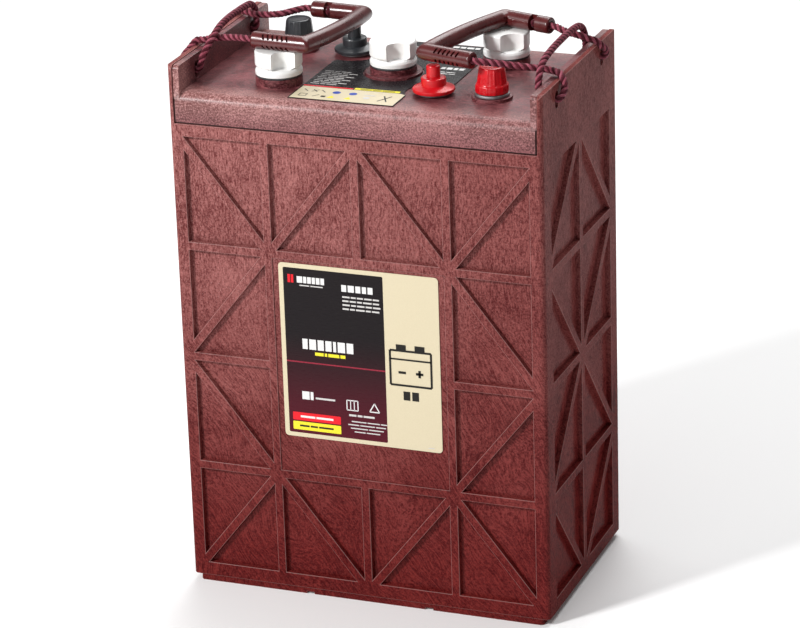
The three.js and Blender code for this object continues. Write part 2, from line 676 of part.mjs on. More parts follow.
// Joins one cell's strap to the next, through the partition.
function cellConnector(side) {
  const y = side * PLATE.strapY;
  const pin = new THREE.CylinderGeometry(CONNECTOR.pin, CONNECTOR.pin, CASE.partition + 2 * CONNECTOR.tab, 16);
  const x = side * CASE.partitionX;
  const near = CASE.partition / 2 + GAP;
  const tab = (direction) => {
    const reach = [near, near + CONNECTOR.tab].map((distance) => x + direction * distance);
    return box([Math.min(...reach), y - CONNECTOR.halfWidth, PLATE.strapTop + GAP],
      [Math.max(...reach), y + CONNECTOR.halfWidth, CONNECTOR.top]);
  };
  return joined(solid(pin.rotateZ(Math.PI / 2).translate(x, y, CONNECTOR.z)), tab(-1), tab(1));
}

// ---------------------------------------------------------------- handles

// The middle line of a grip: two arms along +X, and a slightly bowed bar between them.
function gripLine() {
  const half = GRIP.span / 2;
  const bar = [-0.66, -0.33, 0, 0.33, 0.66].map((share) => (
    [GRIP.arm + GRIP.bow * (1 - share ** 2), share * half]));
  return [[0, -half], [GRIP.arm, -half], ...bar, [GRIP.arm, half], [0, half]];
}

// A tube along a line in the XY plane, mitred at each of its points.
function mitredTube(line, radius, sides) {
  const points = line.map(([x, y]) => new THREE.Vector2(x, y));
  const normals = points.slice(1).map((point, i) => point.clone().sub(points[i]).normalize())
    .map((way) => new THREE.Vector2(way.y, -way.x));
  const rings = points.flatMap((point, i) => {
    const [into, out] = [normals[Math.max(i - 1, 0)], normals[Math.min(i, normals.length - 1)]];
    const across = into.clone().add(out).divideScalar(1 + into.dot(out));
    return Array.from({ length: sides }, (_, k) => {
      const angle = ((k + 0.5) * 2 * Math.PI) / sides;
      return [point.x + across.x * radius * Math.cos(angle), point.y + across.y * radius * Math.cos(angle),
        radius * Math.sin(angle)];
    });
  });
  const faces = [];
  for (let k = 0; k < sides; k += 1) {
    const next = (k + 1) % sides;
    for (let near = 0, far = sides; far < rings.length; near += sides, far += sides) {
      faces.push(near + k, far + k, near + next, near + next, far + k, far + next);
    }
    const last = rings.length - sides;
    if (k > 1) faces.push(0, k - 1, k, last, last + k, last + k - 1);
  }
  const geometry = new THREE.BufferGeometry();
  geometry.setAttribute('position', new THREE.BufferAttribute(new Float32Array(rings.flat()), 3));
  geometry.setIndex(faces);
  return geometry;
}

function grip() {
  let body = solid(mitredTube(gripLine(), GRIP.radius, GRIP.sides));
  for (const side of [-1, 1]) {
    const y = (side * GRIP.span) / 2;
    const bore = new THREE.CylinderGeometry(GRIP.bore, GRIP.bore, GRIP.notchStart + 4, 12).rotateZ(Math.PI / 2);
    const inner = [y, y - side * (GRIP.radius + 1)].sort((a, b) => a - b);
    body = cut(body, solid(bore.translate((GRIP.notchStart + 4) / 2 - 1, y, 0)),
      box([GRIP.notchStart, inner[0], -GRIP.radius - 1],
        [GRIP.notchStart + GRIP.notchLength, inner[1], GRIP.radius + 1]));
  }
  return body;
}

function placedGrip(name) {
  const place = GRIP.places[name];
  const holder = new THREE.Group();
  holder.position.set(...place.at);
  holder.rotation.set(THREE.MathUtils.degToRad(place.roll), 0, THREE.MathUtils.degToRad(place.yaw), 'ZXY');
  holder.add(meshOf(`handle_grip_${name}`, grip(), MATERIAL.grip()));
  return holder;
}

function ropes(name) {
  const group = new THREE.Group();
  for (const [part, points] of Object.entries(ROUTES[name])) {
    const body = solid(tube(points, ROPE.radius, ROPE.sides, ROPE.step));
    group.add(meshOf(`rope_${name}_${part}`, body, MATERIAL.rope()));
  }
  return group;
}

// ---------------------------------------------------------------- labels

function frontLabel() {
  const { low, high, radius, thickness } = FRONT_LABEL;
  const shape = roundedRectangle(low[0], low[1], high[0], high[1], radius);
  const face = -HALF_W + PANEL.depth - GAP;
  const sheet = prism(shape, 0, thickness, 3);
  return sheet.rotate([90, 0, 0]).translate([0, face, 0]);
}

// The label goes round the centre boss and leaves room for each stud cover.
function topLabel() {
  const { halfX, halfY, frontX, cutY, arcRadius, hole, bottom, thickness } = TOP_LABEL;
  const sheet = prism(polygon([[-halfX, -halfY], [frontX, -halfY], [frontX, cutY], [halfX, -16], [halfX, halfY],
    [-frontX, halfY], [-frontX, -cutY], [-halfX, 16]]), bottom, bottom + thickness);
  return cut(sheet, cylinder(hole, bottom - 1, bottom + 1, 0, 0, 36),
    ...[-1, 1].map((side) => cylinder(arcRadius, bottom - 1, bottom + 1, side * STUD.x, side * STUD.y, 32)));
}

// ---------------------------------------------------------------- assembly

const battery = new THREE.Group();
battery.add(
  meshOf('case', batteryCase(), MATERIAL.case()),
  meshOf('cover', cover(), MATERIAL.cover()),
  meshOf('front_label', frontLabel(), MATERIAL.paper()),
  meshOf('top_label', topLabel(), MATERIAL.film()),
);

CAP.places.forEach(([x, y], index) => {
  const number = index + 1;
  battery.add(
    meshOf(`vent_cap_${number}`, ventCap(x, y), MATERIAL.white()),
    meshOf(`cap_gasket_${number}`, ring(GASKET.inner, GASKET.outer, GASKET.bottom, GASKET.top, x, y),
      MATERIAL.gasket()),
    meshOf(`splash_baffle_${number}`, splashBaffle(x, y), MATERIAL.white()),
  );
});

for (const [side, sign, colour] of [[1, 'positive', MATERIAL.red], [-1, 'negative', MATERIAL.black]]) {
  battery.add(
    meshOf(`${sign}_post`, conicalPost(side), MATERIAL.lead()),
    meshOf(`${sign}_stud`, studPost(side), MATERIAL.lead()),
    meshOf(`${sign}_stud_washer`, studWasher(side), MATERIAL.steel()),
    meshOf(`${sign}_stud_nut`, studNut(side), MATERIAL.steel()),
    meshOf(`${sign}_link_bar`, linkBar(side), MATERIAL.lead()),
    meshOf(`${sign}_stud_cover`, studCover(side), colour()),
    meshOf(`${sign}_post_cover`, postCover(side), colour()),
  );
}

CELLS.forEach((cell, index) => {
  const number = index + 1;
  battery.add(
    meshOf(`positive_plates_${number}`, plateGroup(cell, true), MATERIAL.positive()),
    meshOf(`negative_plates_${number}`, plateGroup(cell, false), MATERIAL.negative()),
    meshOf(`separator_pack_${number}`, separatorPack(cell), MATERIAL.separator()),
    meshOf(`element_shield_${number}`, elementShield(cell), MATERIAL.shield()),
  );
});

battery.add(
  meshOf('cell_connector_1', cellConnector(-1), MATERIAL.lead()),
  meshOf('cell_connector_2', cellConnector(1), MATERIAL.lead()),
  placedGrip('left'),
  placedGrip('right'),
  ropes('left'),
  ropes('right'),
);

export default battery;
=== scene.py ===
"""Looks of the deep cycle battery: plastics, ropes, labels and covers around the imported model.

Metres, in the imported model's frame: X along the length, -Y the labelled front, +Z up.
"""

import math

import bmesh
import bpy
import numpy as np
from mathutils import Matrix, Vector


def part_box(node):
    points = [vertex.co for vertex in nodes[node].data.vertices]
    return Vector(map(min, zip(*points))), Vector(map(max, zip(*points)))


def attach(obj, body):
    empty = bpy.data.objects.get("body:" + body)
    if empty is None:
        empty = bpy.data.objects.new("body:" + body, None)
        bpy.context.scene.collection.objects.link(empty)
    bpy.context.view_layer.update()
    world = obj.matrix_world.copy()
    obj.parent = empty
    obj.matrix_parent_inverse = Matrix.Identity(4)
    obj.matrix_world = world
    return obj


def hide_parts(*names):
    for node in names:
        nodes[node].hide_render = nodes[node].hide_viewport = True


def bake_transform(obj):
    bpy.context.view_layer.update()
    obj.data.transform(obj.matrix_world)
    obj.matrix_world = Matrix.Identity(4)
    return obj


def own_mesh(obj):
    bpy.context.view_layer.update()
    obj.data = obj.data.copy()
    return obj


MM = 0.001
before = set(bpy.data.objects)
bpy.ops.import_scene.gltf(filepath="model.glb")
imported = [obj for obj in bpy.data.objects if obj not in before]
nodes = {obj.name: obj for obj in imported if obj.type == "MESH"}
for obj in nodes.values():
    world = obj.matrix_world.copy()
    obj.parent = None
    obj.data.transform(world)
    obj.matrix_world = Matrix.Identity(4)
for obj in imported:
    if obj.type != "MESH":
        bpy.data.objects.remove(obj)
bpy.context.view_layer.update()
scene = bpy.context.scene


# ---------------------------------------------------------------- camera, floor and light

CAMERA = {"turn": 21.30, "rise": 21.18, "roll": -1.86, "lens": 162.5, "place": (0.94931, -2.43836, 1.22095)}
WORLD_STRENGTH = 0.24


def place_camera():
    """The main view: from the front, turned to the right, looking down, with a slight roll."""
    turn, rise, roll = (math.radians(CAMERA[key]) for key in ("turn", "rise", "roll"))
    back = Vector((math.sin(turn) * math.cos(rise), -math.cos(turn) * math.cos(rise), math.sin(rise)))
    level = Vector((math.cos(turn), math.sin(turn), 0))
    upright = back.cross(level)
    right = math.cos(roll) * level + math.sin(roll) * upright
    up = -math.sin(roll) * level + math.cos(roll) * upright
    data = bpy.data.cameras.new("camera")
    data.sensor_width, data.lens = 36, CAMERA["lens"]
    data.clip_start, data.clip_end = 0.05, 60
    camera = bpy.data.objects.new("camera", data)
    facing = Matrix((right, up, back)).transposed().to_4x4()
    camera.matrix_world = Matrix.Translation(CAMERA["place"]) @ facing
    scene.collection.objects.link(camera)
    scene.camera = camera


def add_lamp(name, place, target, size, power):
    data = bpy.data.lights.new(name, "AREA")
    data.shape, data.size, data.size_y = "RECTANGLE", size[0], size[1]
    data.energy = power
    lamp = bpy.data.objects.new(name, data)
    lamp.location = place
    lamp.rotation_euler = (Vector(target) - Vector(place)).to_track_quat("-Z", "Y").to_euler()
    scene.collection.objects.link(lamp)


def light_scene():
    world = bpy.data.worlds.new("studio")
    world.use_nodes = True
    world.node_tree.nodes["Background"].inputs["Color"].default_value = (1, 1, 1, 1)
    world.node_tree.nodes["Background"].inputs["Strength"].default_value = WORLD_STRENGTH
    scene.world = world
    middle = (0, 0, 0.25)
    add_lamp("key", (-1.3, -1.9, 1.8), middle, (0.4, 0.4), 72)
    add_lamp("front", (-0.3, -2.8, 1.1), middle, (1.2, 0.9), 12)
    add_lamp("painted_light_left_and_high", (0.1, 0.7, 2.1), (0, 0, 0.4), (1.4, 1.0), 24)
    add_lamp("right", (2.4, -0.4, 1.2), middle, (1.0, 1.2), 1)
    add_lamp("behind", (-0.6, 3.2, 2.6), (-0.9, 2.6, 0), (3.0, 2.0), 70)
    scene.view_settings.view_transform = "Standard"


# ---------------------------------------------------------------- materials

class Look:
    """A procedural material in the making. Patterns lie in the piece's own metres."""

    def __init__(self, name, roughness=0.5, metallic=0.0, coat=0.0, sheen=0.0, specular=0.5):
        self.material = bpy.data.materials.new(name)
        self.material.use_nodes = True
        self.tree = self.material.node_tree
        self.shader = self.tree.nodes["Principled BSDF"]
        self.shader.inputs["Roughness"].default_value = roughness
        self.shader.inputs["Metallic"].default_value = metallic
        self.shader.inputs["Coat Weight"].default_value = coat
        self.shader.inputs["Coat Roughness"].default_value = 0.2
        self.shader.inputs["Sheen Weight"].default_value = sheen
        self.shader.inputs["Specular IOR Level"].default_value = specular
        self.place = self.node("ShaderNodeTexCoord").outputs["Object"]

    def node(self, kind, **settings):
        made = self.tree.nodes.new(kind)
        for key, value in settings.items():
            setattr(made, key, value)
        return made

    def feed(self, socket, value):
        if hasattr(value, "is_output"):
            self.tree.links.new(value, socket)
        else:
            socket.default_value = value

    def scaled(self, scale, turn=(0, 0, 0), source=None):
        made = self.node("ShaderNodeMapping")
        self.feed(made.inputs["Vector"], source or self.place)
        made.inputs["Scale"].default_value = scale
        made.inputs["Rotation"].default_value = turn
        return made.outputs["Vector"]

    def noise(self, vector, scale=1.0, detail=4.0, roughness=0.55, distortion=0.0, colour=False):
        made = self.node("ShaderNodeTexNoise")
        self.feed(made.inputs["Vector"], vector)
        made.inputs["Scale"].default_value = scale
        made.inputs["Detail"].default_value = detail
        made.inputs["Roughness"].default_value = roughness
        made.inputs["Distortion"].default_value = distortion
        return made.outputs["Color" if colour else "Fac"]

    def maths(self, operation, *values):
        made = self.node("ShaderNodeMath", operation=operation)
        for socket, value in zip(made.inputs, values):
            self.feed(socket, value)
        return made.outputs[0]

    def plus(self, first, *others):
        for other in others:
            first = self.maths("ADD", first, other)
        return first

    def times(self, first, *others):
        for other in others:
            first = self.maths("MULTIPLY", first, other)
        return first

    def less(self, first, second):
        return self.maths("SUBTRACT", first, second)

    def vector(self, operation, *values):
        made = self.node("ShaderNodeVectorMath", operation=operation)
        for socket, value in zip(made.inputs, values):
            self.feed(socket, value)
        return made.outputs[0]

    def between(self, value, low, high, start=0.0, end=1.0):
        made = self.node("ShaderNodeMapRange", interpolation_type="SMOOTHSTEP")
        for key, given in (("Value", value), ("From Min", low), ("From Max", high),
                           ("To Min", start), ("To Max", end)):
            self.feed(made.inputs[key], given)
        return made.outputs["Result"]

    def mixed(self, share, first, second):
        made = self.node("ShaderNodeMix", data_type="RGBA")
        self.feed(made.inputs["Factor"], share)
        for key, colour in (("A", first), ("B", second)):
            socket = next(s for s in made.inputs if s.name == key and s.type == "RGBA")
            self.feed(socket, colour if hasattr(colour, "is_output") else (*colour, 1))
        return next(s for s in made.outputs if s.type == "RGBA")

    def axis(self, letter):
        made = self.node("ShaderNodeSeparateXYZ")
        self.feed(made.inputs[0], self.place)
        return made.outputs[letter]

    def finish(self, colour, roughness=None, height=None, depth=0.0001, strength=1.0):
        self.feed(self.shader.inputs["Base Color"], colour)
        if roughness is not None:
            self.feed(self.shader.inputs["Roughness"], roughness)
        if height is not None:
            bump = self.node("ShaderNodeBump")
            bump.inputs["Strength"].default_value = strength
            bump.inputs["Distance"].default_value = depth
            self.feed(bump.inputs["Height"], height)
            self.feed(self.shader.inputs["Normal"], bump.outputs["Normal"])
        return self.material


def swirled(look, amount, size):
    """The piece's place, pushed to and fro by a soft noise, so that streaks drawn on it wander."""
    push = look.vector("SUBTRACT", look.noise(look.place, 1 / size, 2, colour=True), (0.5, 0.5, 0.5))
    return look.vector("ADD", look.place, look.vector("MULTIPLY", push, (amount, amount, amount)))


def case_plastic(name, edge_scuff_and_highlight=0.0):
    """Speckled maroon: fine upright fibres, arcs that lean to the right low down, and pale pink specks, with
    painted light that makes it lighter towards the left and higher up.
    """
    look = Look(name, coat=0.14, specular=0.0)
    wandering = swirled(look, 0.02, 0.06)
    upright = look.noise(look.scaled((900, 900, 150), source=wandering), 1, 4, 0.72)
    curving = look.scaled((1, 1, 1), (0, math.radians(34), 0), swirled(look, 0.09, 0.11))
    sloping = look.noise(look.scaled((700, 700, 60), source=curving), 1, 4, 0.7)
    height = look.axis("Z")
    wavy = look.plus(height, look.times(look.noise(look.place, 9, 2), 0.14))
    low_down = look.between(wavy, 0.36, 0.24)
    streaks = look.plus(look.times(upright, look.less(1.0, low_down)), look.times(sloping, low_down))
    patches = look.noise(look.place, 15, 5, 0.62)
    specks = look.noise(look.place, 760, 2, 0.7)
    fine = look.plus(look.times(streaks, 0.62), look.times(specks, 0.38))
    share = look.between(look.plus(fine, look.times(look.less(patches, 0.5), 0.22)), 0.35, 0.66)
    # painted light: lighter towards the left, where the key lamp falls, and lighter higher up, darker towards
    # the bottom; the pale specks also thicken where this painted light falls
    raised = look.between(look.plus(height, look.times(patches, 0.12)), 0.08, 0.42)
    painted_light_left_and_high = look.times(raised, look.between(look.axis("X"), -0.08, 0.148, 1.0, 0.5))
    dark = look.mixed(painted_light_left_and_high, (0.05, 0.0025, 0.0035), (0.1, 0.018, 0.018))
    light = look.mixed(painted_light_left_and_high, (0.165, 0.02, 0.018), (0.37, 0.145, 0.135))
    body = look.mixed(share, dark, light)
    grains = look.between(look.noise(look.place, 1050, 2, 0.7), 0.6, 0.76)
    # extra paleness on the rounded edges: partly scuffs, partly a painted highlight
    pale = look.plus(look.times(grains, look.between(painted_light_left_and_high, 0.0, 1.0, 0.05, 0.5)), edge_scuff_and_highlight)
    colour = look.mixed(look.maths("MINIMUM", pale, 1.0), body, (0.5, 0.3, 0.28))
    relief = look.plus(look.times(specks, 0.8), look.times(streaks, 0.9))
    return look.finish(colour, look.between(streaks, 0.3, 0.8, 0.45, 0.66), relief, 0.0003, 0.8)


def cover_plastic(name):
    """The cover: dusty and speckled along its rolled edges, with a painted highlight up the rolls, brightest
    on the left; glossier and streaked lengthwise on top.
    """
    look = Look(name, specular=0.25, coat=0.1)
    streaks = look.noise(look.scaled((110, 700, 700), source=swirled(look, 0.03, 0.06)), 1, 5, 0.72)
    patches = look.noise(look.place, 17, 5, 0.66)
    specks = look.noise(look.place, 720, 3, 0.78)
    edge = look.between(look.maths("ABSOLUTE", look.axis("Y")), 0.06, 0.08)
    on_top = look.plus(look.times(streaks, 0.7), look.times(specks, 0.3))
    on_edge = look.plus(look.times(streaks, 0.2), look.times(specks, 0.8))
    fine = look.mixed(edge, on_top, on_edge)
    tone = look.plus(fine, look.times(look.less(patches, 0.5), 0.4))
    # painted highlight: the rolled edges lighter towards their top and towards the left, where the key lamp
    # falls
    roll_highlight_rise = look.times(edge, look.between(look.axis("Z"), 0.376, 0.402, 0.2, 1.0))
    painted_roll_highlight = look.times(roll_highlight_rise, look.between(look.axis("X"), -0.13, 0.13, 1.0, 0.55))
    dark = look.mixed(painted_roll_highlight, (0.04, 0.0045, 0.007), (0.15, 0.05, 0.047))
    light = look.mixed(painted_roll_highlight, (0.24, 0.068, 0.075), (0.48, 0.25, 0.235))
    body = look.mixed(look.between(tone, 0.38, 0.64), dark, light)
    colour = look.mixed(look.times(look.between(specks, 0.58, 0.72), 0.35), body, (0.5, 0.3, 0.3))
    relief = look.plus(look.times(specks, 0.7), look.times(streaks, 0.6))
    return look.finish(colour, look.between(tone, 0.3, 0.7, 0.28, 0.5), relief, 0.0003, 0.8)


def moulded(name, deep, light, roughness=0.35, coat=0.2, grain=1300, depth=0.00006, scuffs=0.12,
            pale=(0.8, 0.8, 0.8)):
    """A clean moulded plastic: slight tone changes, fine grain and a few light scuffs."""
    look = Look(name, coat=coat)
    tone = look.noise(look.place, 55, 4, 0.6)
    fine = look.noise(look.place, grain, 3, 0.6)
    scratch = look.noise(look.scaled((90, 900, 900), (0.3, 0.5, 0.8)), 1, 4, 0.7)
    colour = look.mixed(look.between(tone, 0.3, 0.7), deep, light)
    colour = look.mixed(look.times(look.between(scratch, 0.62, 0.8), scuffs), colour, pale)
    rough = look.between(tone, 0.2, 0.8, roughness - 0.06, roughness + 0.1)
    return look.finish(colour, rough, fine, depth, 0.5)


def cast_lead(name):
    look = Look(name, metallic=0.85)
    tone = look.noise(look.place, 60, 6, 0.65)
    fine = look.noise(look.place, 900, 3, 0.7)
    colour = look.mixed(look.between(tone, 0.3, 0.72), (0.17, 0.17, 0.175), (0.42, 0.42, 0.43))
    return look.finish(colour, look.between(tone, 0.2, 0.8, 0.45, 0.7), fine, 0.00012, 0.7)


def pasted_plate(name, dark, light):
    """Paste pressed into a grid: a fine square lattice under a rough skin."""
    look = Look(name, roughness=0.85)
    lattice = look.maths("MAXIMUM", look.maths("SINE", look.times(look.axis("Y"), 900.0)),
                         look.maths("SINE", look.times(look.axis("Z"), 600.0)))
    tone = look.noise(look.place, 220, 5, 0.7)
    colour = look.mixed(look.between(tone, 0.3, 0.7), dark, light)
    relief = look.plus(look.times(lattice, 0.5), tone)
    return look.finish(colour, None, relief, 0.0003, 0.8)


def plain_film(name, deep, light, roughness=0.3, low=0.0, high=1.0, letter=None):
    """Printed film: one ink, or two that run into each other along an axis, with grain and rub marks."""
    look = Look(name, coat=0.02, specular=0.12)
    grain = look.noise(look.place, 1600, 2, 0.6)
    rub = look.noise(look.scaled((200, 200, 1500)), 1, 4, 0.7)
    if letter is None:
        share = look.between(grain, 0.3, 0.7)
    else:
        share = look.plus(look.between(look.axis(letter), low, high), look.times(look.less(grain, 0.5), 0.12))
    colour = look.mixed(share, deep, light)
    colour = look.mixed(look.times(look.between(rub, 0.6, 0.85), 0.05), colour, (0.7, 0.68, 0.62))
    rough = look.between(rub, 0.2, 0.8, roughness - 0.05, roughness + 0.1)
    return look.finish(colour, rough, grain, 0.00002, 0.3)


def cord_fibre(name, deep, light):
    look = Look(name, roughness=0.75, sheen=0.05, specular=0.15)
    fibres = look.noise(look.scaled((2600, 2600, 2600)), 1, 4, 0.75, 0.4)
    tone = look.noise(look.place, 260, 3, 0.6)
    share = look.plus(look.times(fibres, 0.7), look.times(tone, 0.5))
    return look.finish(look.mixed(look.between(share, 0.42, 0.82), deep, light), None, fibres, 0.0003, 0.8)


def steel_plate(name):
    look = Look(name, metallic=1.0)
    lines = look.noise(look.scaled((60, 60, 2400)), 1, 4, 0.6)
    colour = look.mixed(look.between(lines, 0.3, 0.7), (0.5, 0.5, 0.52), (0.68, 0.68, 0.7))
    return look.finish(colour, look.between(lines, 0.2, 0.8, 0.25, 0.4), lines, 0.00003, 0.4)


def floor_finish():
    look = Look("floor_finish", roughness=0.85)
    tone = look.noise(look.place, 3, 3, 0.5)
    return look.finish(look.mixed(tone, (0.93, 0.93, 0.93), (0.95, 0.95, 0.95)))


CASE = case_plastic("case_plastic")
# the rounded outer edges of the case: paler, partly scuffs and partly a painted highlight
CASE_EDGE = case_plastic("case_edge", 0.28)
COVER = cover_plastic("cover_plastic")
GRIP = moulded("grip_plastic", (0.07, 0.007, 0.008), (0.1, 0.012, 0.012), 0.27, 0.25, 1500, 0.00003, 0.02,
               (0.4, 0.2, 0.2))
WHITE = moulded("cap_plastic", (0.86, 0.86, 0.84), (0.93, 0.93, 0.92), 0.34, 0.2, 1200, 0.00004, 0.1,
                (0.6, 0.6, 0.58))
RED = moulded("red_plastic", (0.5, 0.002, 0.007), (0.68, 0.005, 0.012), 0.28, 0.2, 1200, 0.00006, 0.08,
              (0.9, 0.5, 0.45))
BLACK = moulded("black_plastic", (0.012, 0.014, 0.017), (0.03, 0.033, 0.038), 0.36, 0.3, 1200, 0.00006, 0.1,
                (0.3, 0.3, 0.3))
RUBBER = moulded("gasket_rubber", (0.03, 0.03, 0.032), (0.075, 0.075, 0.08), 0.7, 0.0, 1600, 0.0001, 0.15,
                 (0.25, 0.25, 0.25))
# painted shadow: a dark material for the faces of the groove between cover and case
SEAM_SHADOW = moulded("painted_seam_shadow", (0.012, 0.003, 0.003), (0.035, 0.007, 0.007), 0.8, 0.0, 900, 0.0001, 0.1,
               (0.2, 0.08, 0.08))
LEAD = cast_lead("lead")
STEEL = steel_plate("steel")
# the rope's strands are all one colour, painted as a lighter copy for painted highlight and a darker copy for
# painted shade
ROPE_HIGHLIT = cord_fibre("rope_painted_highlight", (0.15, 0.018, 0.032), (0.42, 0.12, 0.165))
ROPE_SHADED = cord_fibre("rope_painted_shade", (0.035, 0.003, 0.007), (0.12, 0.012, 0.024))
CREAM = plain_film("label_cream", (0.58, 0.505, 0.35), (0.62, 0.545, 0.385), 0.32)
PANEL = plain_film("label_panel", (0.075, 0.004, 0.012), (0.008, 0.0055, 0.0065), 0.28, 0.13, 0.225, "Z")
INK = plain_film("label_ink", (0.012, 0.011, 0.01), (0.02, 0.018, 0.016), 0.35)
PRINT_WHITE = plain_film("label_white", (0.66, 0.65, 0.64), (0.72, 0.71, 0.7), 0.35)
PRINT_GREY = plain_film("label_grey", (0.5, 0.48, 0.47), (0.6, 0.58, 0.56), 0.35)
PRINT_MAROON = plain_film("label_maroon", (0.22, 0.012, 0.03), (0.3, 0.03, 0.05), 0.35)
PRINT_RED = plain_film("label_red", (0.66, 0.012, 0.02), (0.74, 0.02, 0.03), 0.35)
PRINT_YELLOW = plain_film("label_yellow", (0.72, 0.62, 0.02), (0.8, 0.7, 0.05), 0.35)
PRINT_BLUE = plain_film("label_blue", (0.02, 0.05, 0.3), (0.04, 0.08, 0.4), 0.35)
TOP_FILM = plain_film("top_film", (0.009, 0.008, 0.009), (0.018, 0.014, 0.016), 0.24)


# ---------------------------------------------------------------- shapes

def object_of(name, mesh, *materials):
    made = bpy.data.objects.new(name, mesh)
    scene.collection.objects.link(made)
    for material in materials:
        mesh.materials.append(material)
    return made


def shade(mesh, angle=32):
    """Smooth faces, with edges sharper than the angle left crisp."""
    work = bmesh.new()
    work.from_mesh(mesh)
    for face in work.faces:
        face.smooth = True
    for edge in work.edges:
        edge.smooth = len(edge.link_faces) == 2 and edge.calc_face_angle() < math.radians(angle)
    work.to_mesh(mesh)
    work.free()


def weigh(piece):
    piece.modifiers.new("weigh", "WEIGHTED_NORMAL").keep_sharp = True


def merged(mesh):
    """The mesh as one joined surface, without the edges inside its flat faces."""
    work = bmesh.new()
    work.from_mesh(mesh)
    bmesh.ops.remove_doubles(work, verts=work.verts, dist=1e-6)
    bmesh.ops.dissolve_limit(work, angle_limit=math.radians(0.6), verts=work.verts, edges=work.edges)
    return work


def every_edge(edge):
    return True


def refined(source, name, width, materials, turn, segments=2, chosen=every_edge, smooth=32, rim=-1):
    """A copy of a CAD node with its chosen outward edges rounded, standing for that node.

    turn is the least angle of an edge to round, smooth the least angle of an edge that stays
    crisp, and rim the material of the rounding.
    """
    work = merged(nodes[source].data)
    edges = [edge for edge in work.edges if len(edge.link_faces) == 2 and edge.is_convex
             and edge.calc_face_angle() > math.radians(turn) and chosen(edge)]
    bmesh.ops.bevel(work, geom=edges, offset=width, offset_type="OFFSET", segments=segments, profile=0.5,
                    affect="EDGES", clamp_overlap=False, material=rim)
    mesh = bpy.data.meshes.new(name)
    work.to_mesh(mesh)
    work.free()
    shade(mesh, smooth)
    piece = object_of(name, mesh, *materials)
    weigh(piece)
    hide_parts(source)
    return piece


def curve_through(points, step):
    """A smooth line through points: a centripetal Catmull-Rom curve, at even spacing."""
    given = np.array(points, float)
    given = np.vstack([2 * given[0] - given[1], given, 2 * given[-1] - given[-2]])
    line = []
    for i in range(1, len(given) - 2):
        p = given[i - 1:i + 3]
        t = np.concatenate([[0], np.cumsum(np.sqrt(np.linalg.norm(np.diff(p, axis=0), axis=1)))])
        for at in np.linspace(t[1], t[2], 24, endpoint=i == len(given) - 3):
            a = [p[k] + (p[k + 1] - p[k]) * (at - t[k]) / (t[k + 1] - t[k]) for k in range(3)]
            b = [a[k] + (a[k + 1] - a[k]) * (at - t[k]) / (t[k + 2] - t[k]) for k in range(2)]
            line.append(b[0] + (b[1] - b[0]) * (at - t[1]) / (t[2] - t[1]))
    line = np.array(line)
    along = np.concatenate([[0], np.cumsum(np.linalg.norm(np.diff(line, axis=0), axis=1))])
    even = np.linspace(0, along[-1], max(3, round(along[-1] / step) + 1))
    return np.stack([np.interp(even, along, line[:, k]) for k in range(3)], axis=1), even


def crosswise(line):
    """Two directions across a line at each of its points, carried along without twist."""
    ways = np.gradient(line, axis=0)
    ways /= np.linalg.norm(ways, axis=1)[:, None]
    start = np.cross(ways[0], (0, 0, 1) if abs(ways[0][2]) < 0.9 else (1, 0, 0))
    first = [start / np.linalg.norm(start)]
    for way in ways[1:]:
        side = first[-1] - way * (first[-1] @ way)
        first.append(side / np.linalg.norm(side))
    first = np.array(first)
    return first, np.cross(ways, first)


def join_rings(work, rings):
    """The faces of a closed tube through rings of points, with a flat cap at each end."""
    sides = len(rings[0])
    faces = [work.faces.new((one[k], one[(k + 1) % sides], two[(k + 1) % sides], two[k]))
             for one, two in zip(rings, rings[1:]) for k in range(sides)]
    return faces + [work.faces.new(rings[0][::-1]), work.faces.new(rings[-1])]


def add_tube(work, line, radius, sides, material):
    """A closed tube along a line; radius is one number, or one for each point."""
    first, second = crosswise(line)
    radii = np.broadcast_to(radius, len(line))
    rings = []
    for point, u, v, r in zip(line, first, second, radii):
        rings.append([work.verts.new(point + r * (math.cos(a) * u + math.sin(a) * v))
                      for a in (2 * math.pi * k / sides for k in range(sides))])
    for face in join_rings(work, rings):
        face.material_index, face.smooth = material, True


def piece_from(work, name, *materials):
    bmesh.ops.recalc_face_normals(work, faces=work.faces)
    mesh = bpy.data.meshes.new(name)
    work.to_mesh(mesh)
    work.free()
    return object_of(name, mesh, *materials)


# ---------------------------------------------------------------- ropes

